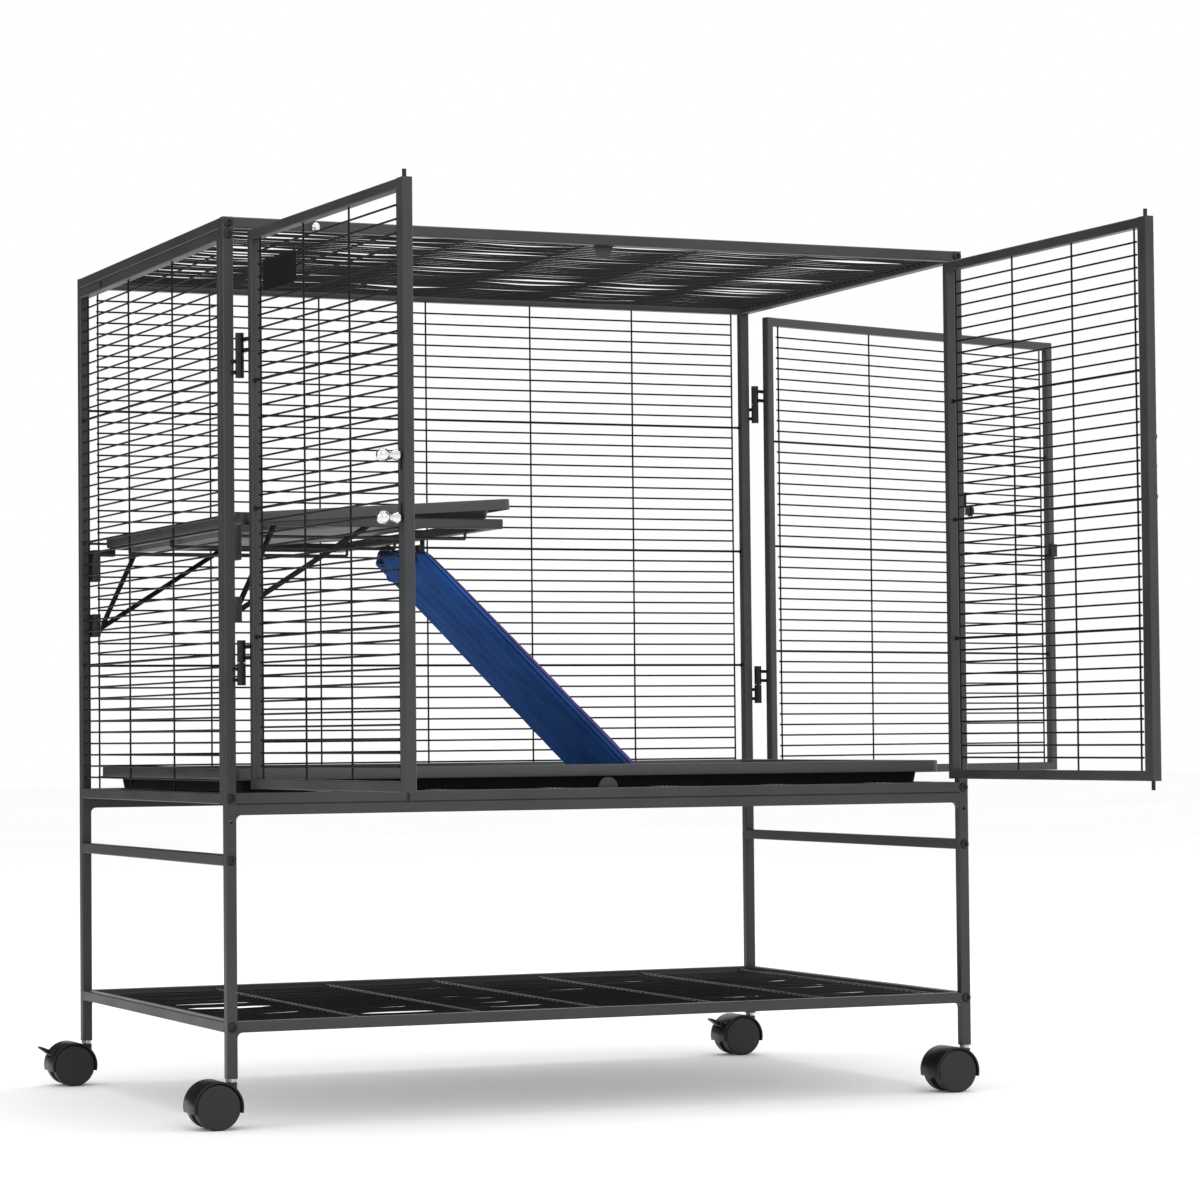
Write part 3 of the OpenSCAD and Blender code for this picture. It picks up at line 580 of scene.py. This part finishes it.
WIRE_R, WIRE_GAP = 1.1 * MM, 0.05 * MM  # the frame's thin wires, and the gap where two cross
FLAT_WIDTH, FLAT_DEPTH, FLAT_INSET = 890 * MM, 576 * MM, 12 * MM
FLAT_ROWS, FLAT_CROSS, ROW_CUTS = 40, 7, 47  # rows, cross wires, and cuts along a row
FLAT_GRILLES = {
    # node: (wire's radius, furthest bend, sag between two cross wires), in mm
    "top_wires": (0.95, 2.2, 0.8),
    "floor_wires": (1.1, 2.0, 0.4),
    "storage_shelf_wires": (1.05, 3.8, 0.6),
}


def chance(row, span):
    """Fixed number from -1 to 1 that looks random, for one span of one row."""
    return 2 * (math.sin(12.9898 * row + 78.233 * span + 3.7) * 43758.5453 % 1) - 1


class CAGE_OT_flat_grilles(bpy.types.Operator):
    """Adds the roof's, the floor's and the lower shelf's wires, a little bowed"""

    bl_idname = "cage.flat_grilles"
    bl_label = "Flat grilles"

    def execute(self, context):
        for node, measures in FLAT_GRILLES.items():
            self.bow(node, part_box(node)[1].z - WIRE_R, *(mm * MM for mm in measures))
        return {"FINISHED"}

    def bow(self, node, z, r, bend, sag):
        """Flat grille of welded wires, its cross wires at height z. Between them its rows sag
        a little, and a few are bent further, by up to bend, so that light shows between them."""
        name = "bowed_" + node
        span = (FLAT_WIDTH - 2 * FLAT_INSET) / (FLAT_CROSS - 1)
        row = start(name + "_row", "primitive_cylinder_add", vertices=8, radius=r,
                    depth=FLAT_WIDTH, rotation=(0, math.pi / 2, 0))
        settle(row)
        bpy.ops.object.mode_set(mode="EDIT")
        mesh = bmesh.from_edit_mesh(row.data)
        for edge in mesh.edges:
            edge.select = abs(edge.verts[0].co.x - edge.verts[1].co.x) > FLAT_WIDTH / 2
        bmesh.update_edit_mesh(row.data)
        bpy.ops.mesh.subdivide(number_cuts=ROW_CUTS)
        bpy.ops.object.mode_set(mode="OBJECT")
        rows, cross = [], []
        for i in range(FLAT_ROWS):
            wire = copy_of(row, f"{name}_{i}")
            y = FLAT_DEPTH / 2 - (i + 1) * FLAT_DEPTH / (FLAT_ROWS + 1)
            for v in wire.data.vertices:
                along = (v.co.x + FLAT_WIDTH / 2 - FLAT_INSET) / span
                k = max(0, min(FLAT_CROSS - 2, math.floor(along)))
                bow = math.sin(math.pi * fade(along, k, k + 1)) ** 2
                # the odd power leaves most spans nearly straight
                v.co.z += z - r * 2 - WIRE_GAP + (bend * chance(i, k) ** 7 - sag) * bow
                v.co.y += y
            rows.append(wire)
        bpy.data.objects.remove(row)
        for j in range(FLAT_CROSS):
            x = -FLAT_WIDTH / 2 + FLAT_INSET + j * span
            cross.append(start(f"{name}_cross_{j}", "primitive_cylinder_add", vertices=10,
                               radius=r, depth=FLAT_DEPTH, rotation=(math.pi / 2, 0, 0),
                               location=(x, 0, z)))
            settle(cross[-1])
        mats = finishes()
        finish_piece(join(name, rows), mats["powder_coated_wire"], "cage", "wire_steel", node)
        # the cross wires are lighter than the rows: a painted highlight
        finish_piece(join(name + "_cross", cross), mats["glossy_coated_cross_wire"], "cage",
                     "wire_steel")


GRILLES = {
    # node: (width, height, rows, columns, columns' inset, thick rows that end on the frame), in mm
    "back_wires": (890, 617, 44, 7, 12, (11, 22, 34)),
    "left_panel_wires": (564, 604.5, 43, 4, 12, (11, 22, 33)),
    "left_door_wires": (403, 586, 41, 4, 12, (11, 21, 31)),
    "right_door_wires": (403, 586, 41, 4, 12, (11, 21, 31)),
    "side_door_wires": (539, 586, 41, 4, 12, (11, 21, 31)),
}
# a fixed grille's lower corner in mm, and its turn in degrees
FIXED_GRILLES = {
    "back_wires": ((445, 293, 363), 180),
    "left_panel_wires": ((-450, 288, 363), -90),
}
GRILLE_IN_DOOR = Vector((19.2, 12.8, 378.5)) * MM
WELD_Y = -1.15 * MM  # between the axes of two thin wires that cross
BEAD_R, BEAD_INSET = 2.6, 0.6  # in mm


def grille_place(node):
    """Matrix from a grille's own axes, with its columns along +Z, to the cage's."""
    if node in FIXED_GRILLES:
        corner, turn = FIXED_GRILLES[node]
        return (Matrix.Translation(Vector(corner) * MM)
                @ Matrix.Rotation(math.radians(turn), 4, "Z"))
    return door_place(node.replace("_wires", "")) @ Matrix.Translation(GRILLE_IN_DOOR)


class CAGE_OT_welds(bpy.types.Operator):
    """Adds a small weld where two wires cross and a bead where a thick wire ends"""

    bl_idname = "cage.welds"
    bl_label = "Wire welds"

    def execute(self, context):
        r = context.scene.cage_sizes.weld_r
        for node, (w, h, rows, cols, inset, thick) in GRILLES.items():
            obj = start("welds_" + node, "primitive_ico_sphere_add", subdivisions=1, radius=r,
                        location=(inset * MM, WELD_Y, h * MM / (rows + 1)))
            obj.scale = (1.0, 0.8, 0.9)
            settle(obj)
            for axis, count, step in ((0, cols, (w - 2 * inset) / (cols - 1)),
                                      (2, rows, h / (rows + 1))):
                offset = [0.0, 0.0, 0.0]
                offset[axis] = step * MM
                modify(obj, "ARRAY", count=count, use_relative_offset=False,
                       use_constant_offset=True, constant_offset_displace=offset)
            beads = [start("bead", "primitive_ico_sphere_add", subdivisions=2, radius=BEAD_R * MM,
                           location=(x * MM, -BEAD_R * MM, i * h * MM / (rows + 1)))
                     for i in thick for x in (BEAD_INSET, w - BEAD_INSET)]
            obj = join("welds_" + node, [obj, *beads])
            settle(obj, grille_place(node))
            body = node.replace("_wires", "") if "door" in node else "cage"
            finish_piece(obj, finishes()["powder_coated_wire"], body, "wire_steel")
        return {"FINISHED"}


# in mm: the posts' middles, their faces under the heads, and the heights of the bolts
BOLT_X, BOLT_Y = 451, 300
BOLT_HEIGHTS, LEFT_BOLT_HEIGHT = [109.5, 290, 357, 986], 973.5
# a bolt's head, the round of its top, its shank and the depth of its socket
HEAD_R, HEAD_H, HEAD_ROUND, SHANK_R, SHANK_L, SOCKET_DEPTH = 5.5, 2.8, 2.5, 3, 27, 1.7


class CAGE_OT_bolts(bpy.types.Operator):
    """Adds the round-headed bolts with a hexagon socket"""

    bl_idname = "cage.bolts"
    bl_label = "Bolts"

    def execute(self, context):
        bolt = start("bolt", "primitive_cylinder_add", vertices=32, radius=HEAD_R * MM,
                     depth=HEAD_H * MM, location=(0, 0, HEAD_H / 2 * MM))
        settle(bolt)
        bpy.ops.object.mode_set(mode="EDIT")
        select_faces(bolt, lambda c, n: n.z > 0.9)
        bpy.ops.mesh.bevel(offset=HEAD_ROUND * MM, segments=6, profile=0.5, affect="EDGES")
        select_faces(bolt, lambda c, n: n.z < -0.9)
        bpy.ops.mesh.inset(thickness=(HEAD_R - SHANK_R) * MM)
        bpy.ops.mesh.extrude_region_move(
            TRANSFORM_OT_translate={"value": (0, 0, -SHANK_L * MM)})
        bpy.ops.object.mode_set(mode="OBJECT")
        socket = start("socket", "primitive_cylinder_add", vertices=6,
                       radius=context.scene.cage_sizes.socket_r,
                       depth=2 * SOCKET_DEPTH * MM, location=(0, 0, HEAD_H * MM))
        modify(bolt, "BOOLEAN", object=socket, operation="DIFFERENCE", solver="EXACT")
        bpy.data.objects.remove(socket)
        parts = []
        for sx in (-1, 1):
            for sy in (-1, 1):
                for z in BOLT_HEIGHTS + ([LEFT_BOLT_HEIGHT] if sx < 0 else []):
                    one = copy_of(bolt, f"bolt_{len(parts)}")
                    place = Matrix.Translation(Vector((BOLT_X * sx, BOLT_Y * sy, z)) * MM)
                    face = Matrix.Rotation(-sy * math.pi / 2, 4, "X")
                    # no two sockets stand at the same angle
                    turn = Matrix.Rotation(math.radians(17 * len(parts)), 4, "Z")
                    settle(one, place @ face @ turn)
                    parts.append(one)
        bpy.data.objects.remove(bolt)
        bolts = join("socket_head_bolts", parts)
        finish_piece(bolts, finishes()["black_oxide_bolt_steel"], "cage", "black_fastener",
                     "frame_bolts")
        return {"FINISHED"}


PLATE_SIZE = Vector((94, 1.2, 34.5)) * MM
PLATE_CORNER = Vector((54, 7.0, 904)) * MM  # on the left door's own axes


class CAGE_OT_nameplate(bpy.types.Operator):
    """Adds the bare plate on the left door, with rounded corners and a raised rim"""

    bl_idname = "cage.nameplate"
    bl_label = "Bare plate"

    def execute(self, context):
        plate = start("bare_plate", "primitive_cube_add", size=1)
        bpy.ops.object.mode_set(mode="EDIT")
        bpy.ops.transform.resize(value=PLATE_SIZE)
        mesh = bmesh.from_edit_mesh(plate.data)
        for edge in mesh.edges:
            edge.select = abs(edge.verts[0].co.y - edge.verts[1].co.y) > PLATE_SIZE.y / 2
        bmesh.update_edit_mesh(plate.data)
        bpy.ops.mesh.bevel(offset=3 * MM, segments=5, profile=0.5, affect="EDGES")
        select_faces(plate, lambda c, n: n.y < -0.9)
        bpy.ops.mesh.inset(thickness=1.6 * MM)
        bpy.ops.mesh.inset(thickness=0.4 * MM, depth=-0.35 * MM)
        bpy.ops.object.mode_set(mode="OBJECT")
        modify(plate, "BEVEL", width=0.2 * MM, segments=2, limit_method="ANGLE")
        centre = PLATE_CORNER + PLATE_SIZE / 2
        settle(plate, door_place("left_door") @ Matrix.Translation(centre))
        finish_piece(plate, finishes()["dark_lacquered_plate"], "left_door", "plate", "nameplate")
        return {"FINISHED"}


MOULDED = {
    # node: (finish, edge radius in mm)
    "floor_tray": ("pebbled_tray_polypropylene", 1.2),
    "shelf_tray": ("pebbled_tray_polypropylene", 1.2),
    "shelf_brackets": ("satin_bracket_nylon", 0.8),
    "front_left_hood": ("satin_caster_nylon", 0.5),
    "front_right_hood": ("satin_caster_nylon", 0.5),
    "back_left_hood": ("satin_caster_nylon", 0.5),
    "back_right_hood": ("satin_caster_nylon", 0.5),
    "back_left_brake": ("satin_caster_nylon", 0.5),
    "back_right_brake": ("satin_caster_nylon", 0.5),
}
TRAY_LIP = 13 * MM  # how far the floor tray's rim is turned down


class CAGE_OT_moulded_parts(bpy.types.Operator):
    """Adds the moulded plastic parts with their edges rounded"""

    bl_idname = "cage.moulded_parts"
    bl_label = "Moulded parts"

    def execute(self, context):
        for node, (finish, radius) in MOULDED.items():
            body = frame["nodes"][node]["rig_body"]
            obj = moulded_copy(node, "moulded_" + node, radius * MM)
            finish_piece(obj, finishes()[finish], body, NODE_SLOT[node], node)
            # the floor tray's foot is painted near-black, as shade under its rim
            if node == "floor_tray":
                self.paint_shade_under_tray_rim(obj)
        return {"FINISHED"}

    def paint_shade_under_tray_rim(self, tray):
        """Paints shade on the tray's foot, below its turned-down rim: its under side and outer
        wall get a near-black matt plastic where the rim's recess lies in shadow.
        """
        tray.data.materials.append(finishes()["matt_tray_underside"])
        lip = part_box("floor_tray")[1].z - TRAY_LIP
        for face in tray.data.polygons:
            outward = face.normal.x * face.center.x + face.normal.y * face.center.y > 0
            if face.center.z < lip and (face.normal.z < -0.5 or outward and face.normal.z < 0.5):
                face.material_index = 1


# the ramp's cover, in mm along the ramp's own axes
COVER_BLOCKS = (
    # the slab, the sleeve around the rod between the hooks, and a flap beside each hook
    ((9, -92, -11.2), (392, 92, -2.8)),
    ((-4, -52, -10.5), (16, 52, 3.0)),
    ((-2, 67, -11), (16, 92, -3)),
    ((0, -92, -11), (16, -67, -3)),
)
SLOT_NEAR, SLOT_FAR, SLOT_END = 50.5, 69.5, 10.8  # the room left open around each hook
BOARD_X, BOARD_Y, BOARD_UNDER, BOARD_OVER = 6, 89, -9.8, -4.2  # what stays covered
# how far the fleece is moved: the corners beside the hooks upwards, the far edge inwards and
# its under side up by a share, the far edge's ruffle up and inwards, the upper end's scallops,
# and the long wrinkles
FAR_LIFT, NEAR_LIFT, DRAW_IN, TUCK_UP = 12.0, 2.0, 4, 0.62
RUFFLE_UP, RUFFLE_IN, SCALLOP, WRINKLE = 4.5, 3.0, 0.8, 0.5
SLAB_MID, SLAB_HALF = -7, 91  # its middle height, and half its width
# the cover's sewn edge lies in this plane, which sinks a little towards the ramp's foot
SEAM, SEAM_NORMAL = Vector((200, 0, -4.6)) * MM, Vector((0.011, 0, 1)).normalized()
SIDE_BAND = Vector((0, 0, 4.8)) * MM
UNDER, UPPER, SIDE = 0, 1, 2  # the cover's materials


class CAGE_OT_ramp_cover(bpy.types.Operator):
    """Stuffs and sews the ramp's fleece cover"""

    bl_idname = "cage.ramp_cover"
    bl_label = "Ramp cover"

    def execute(self, context):
        puff = context.scene.cage_sizes.puff
        blocks = []
        for low, high in COVER_BLOCKS:
            size = Vector(high) - Vector(low)
            block = start(f"cover_block_{len(blocks)}", "primitive_cube_add", size=1)
            bpy.ops.object.mode_set(mode="EDIT")
            bpy.ops.transform.resize(value=size * MM)
            bpy.ops.transform.translate(value=(Vector(low) + size / 2) * MM)
            bpy.ops.object.mode_set(mode="OBJECT")
            blocks.append(block)
        pad = join("ramp_cover_fleece", blocks)
        modify(pad, "REMESH", mode="VOXEL", voxel_size=4 * MM)
        flat = [v.co.copy() for v in pad.data.vertices]
        cloth = pad.modifiers.new("Stuffing", "CLOTH")
        cloth.settings.use_pressure = True
        cloth.settings.uniform_pressure_force = 4.0
        cloth.settings.effector_weights.gravity = 0.0
        cloth.settings.mass = 0.25
        cloth.settings.tension_stiffness = cloth.settings.compression_stiffness = 20
        for step in range(1, 21):
            context.scene.frame_set(step)
        pick(pad)
        bpy.ops.object.modifier_apply(modifier=cloth.name)
        context.scene.frame_set(1)
        # the board inside keeps the cover's plan, so only its thickness swells
        for v, old in zip(pad.data.vertices, flat):
            v.co = old + Vector((0, 0, max(-puff, min(puff, v.co.z - old.z))))
        modify(pad, "SUBSURF", levels=1, render_levels=1)
        self.shape(pad)
        self.sew(pad)
        return {"FINISHED"}

    def shape(self, pad):
        """Leaves room for the hooks, lifts the corners beside them, draws in and ruffles the
        far edge, and runs long wrinkles down the cover."""
        normals = [v.normal.copy() for v in pad.data.vertices]
        for v, normal in zip(pad.data.vertices, normals):
            x, y, z = v.co / MM
            # the slot around each hook stays open, so that the ramp swings up clear of it
            if SLOT_NEAR < abs(y) < SLOT_FAR:
                x = max(x, SLOT_END)
                v.co.x = x * MM
            end = fade(x, 26, -4)
            lift = FAR_LIFT if y > 0 else NEAR_LIFT
            v.co.z += lift * MM * end ** 2 * fade(abs(y), 64, 80)
            # towards its upper end, the far edge is drawn in and tight under the board
            drawn = fade(y, 30, 80) * fade(x, 340, 40)
            v.co.z += TUCK_UP * MM * drawn * max(0.0, SLAB_MID - z)
            v.co.y -= DRAW_IN * MM * drawn * fade(y, 76, 88)
            # its upper end is ruffled, in folds 24 mm long
            frill, fold = fade(y, 82, 90) * fade(x, 60, 30), 0.26 * x
            v.co.z += RUFFLE_UP * MM * frill * math.sin(fold + 2.6)
            v.co.y -= RUFFLE_IN * MM * frill * (1 - math.cos(fold + 1.2)) * 0.5
            v.co.x += SCALLOP * MM * end * (1 + math.sin(y * 0.19 + 0.8))
            # wrinkles 30 mm apart wander down the slab, and its sides wave with them
            free = fade(x, 20, 50)
            ripple = math.sin(y * 0.21 + 1.1 * math.sin(x * 0.013)) * math.sin(x * 0.0085 + 0.6)
            v.co.z += WRINKLE * MM * free * ripple
            v.co.y += WRINKLE * MM * free * math.sin(x * 0.021 + 0.9) * y / SLAB_HALF
            # the board inside stays covered, above and below
            if x > BOARD_X and abs(y) < BOARD_Y and abs(normal.z) > 0.6:
                v.co.z = (min(v.co.z, BOARD_UNDER * MM) if normal.z < 0
                          else max(v.co.z, BOARD_OVER * MM))

    def sew(self, pad):
        """Sews the violet upper side, the blue side band and the blue under side together, with
        a raised thread, and sets the cover in place."""
        pick(pad)
        bpy.ops.object.mode_set(mode="EDIT")
        bpy.ops.mesh.select_all(action="SELECT")
        bpy.ops.mesh.bisect(plane_co=SEAM, plane_no=SEAM_NORMAL)
        bpy.ops.mesh.select_all(action="SELECT")
        bpy.ops.mesh.bisect(plane_co=SEAM - SIDE_BAND, plane_no=SEAM_NORMAL)
        bpy.ops.object.mode_set(mode="OBJECT")
        pad.data.materials.clear()
        for finish in ("blue_fleece", "violet_fleece", "blue_fleece"):
            pad.data.materials.append(finishes()[finish])
        for face in pad.data.polygons:
            height = (face.center - SEAM).dot(SEAM_NORMAL)
            face.material_index = UPPER if height > 0 else SIDE if height > -SIDE_BAND.z else UNDER
        # the thread follows the edges between two materials
        seam = copy_of(pad, "ramp_cover_seam")
        pick(seam)
        bpy.ops.object.mode_set(mode="EDIT")
        mesh = bmesh.from_edit_mesh(seam.data)
        for edge in mesh.edges:
            edge.select = len({f.material_index for f in edge.link_faces}) == 1
        bmesh.update_edit_mesh(seam.data)
        bpy.ops.mesh.delete(type="EDGE_FACE")
        bpy.ops.object.mode_set(mode="OBJECT")
        bpy.ops.object.convert(target="CURVE")
        seam = bpy.context.object
        seam.data.bevel_depth, seam.data.bevel_resolution = 0.7 * MM, 1
        bpy.ops.object.convert(target="MESH")
        seam = bpy.context.object
        seam.data.materials.clear()
        for obj in (pad, seam):
            settle(obj, ramp_place())
        finish_piece(pad, None, "ramp", "ramp_fabric", "ramp_cover", angle=180)
        finish_piece(seam, finishes()["dark_sewing_thread"], "ramp", "ramp_fabric", angle=60)


class CAGE_PT_panel(bpy.types.Panel):
    """Steps and settings of the cage"""

    bl_label = "Ferret Cage"
    bl_idname = "CAGE_PT_panel"
    bl_space_type = "VIEW_3D"
    bl_region_type = "UI"
    bl_category = "Cage"

    def draw(self, context):
        for step in STEPS:
            self.layout.operator(step.bl_idname)
        for group in (context.scene.cage_finish, context.scene.cage_sizes):
            box = self.layout.box()
            for key in group.__annotations__:
                box.prop(group, key)


STEPS = [CAGE_OT_stage, CAGE_OT_finishes, CAGE_OT_flat_grilles, CAGE_OT_welds, CAGE_OT_bolts,
         CAGE_OT_nameplate, CAGE_OT_moulded_parts, CAGE_OT_ramp_cover]
CLASSES = [CageFinish, CageSizes, *STEPS, CAGE_PT_panel]


def register():
    """Registers the classes and the scene's settings."""
    for cls in CLASSES:
        bpy.utils.register_class(cls)
    bpy.types.Scene.cage_finish = bpy.props.PointerProperty(type=CageFinish)
    bpy.types.Scene.cage_sizes = bpy.props.PointerProperty(type=CageSizes)


def unregister():
    """Takes away what register adds."""
    del bpy.types.Scene.cage_sizes, bpy.types.Scene.cage_finish
    for cls in reversed(CLASSES):
        bpy.utils.unregister_class(cls)


def main():
    """Builds the scene."""
    register()
    bpy.ops.cage.stage()
    bpy.ops.cage.finishes()
    bpy.ops.cage.flat_grilles()
    bpy.ops.cage.welds()
    bpy.ops.cage.bolts()
    bpy.ops.cage.nameplate()
    bpy.ops.cage.moulded_parts()
    bpy.ops.cage.ramp_cover()


if __name__ == "__main__":
    main()
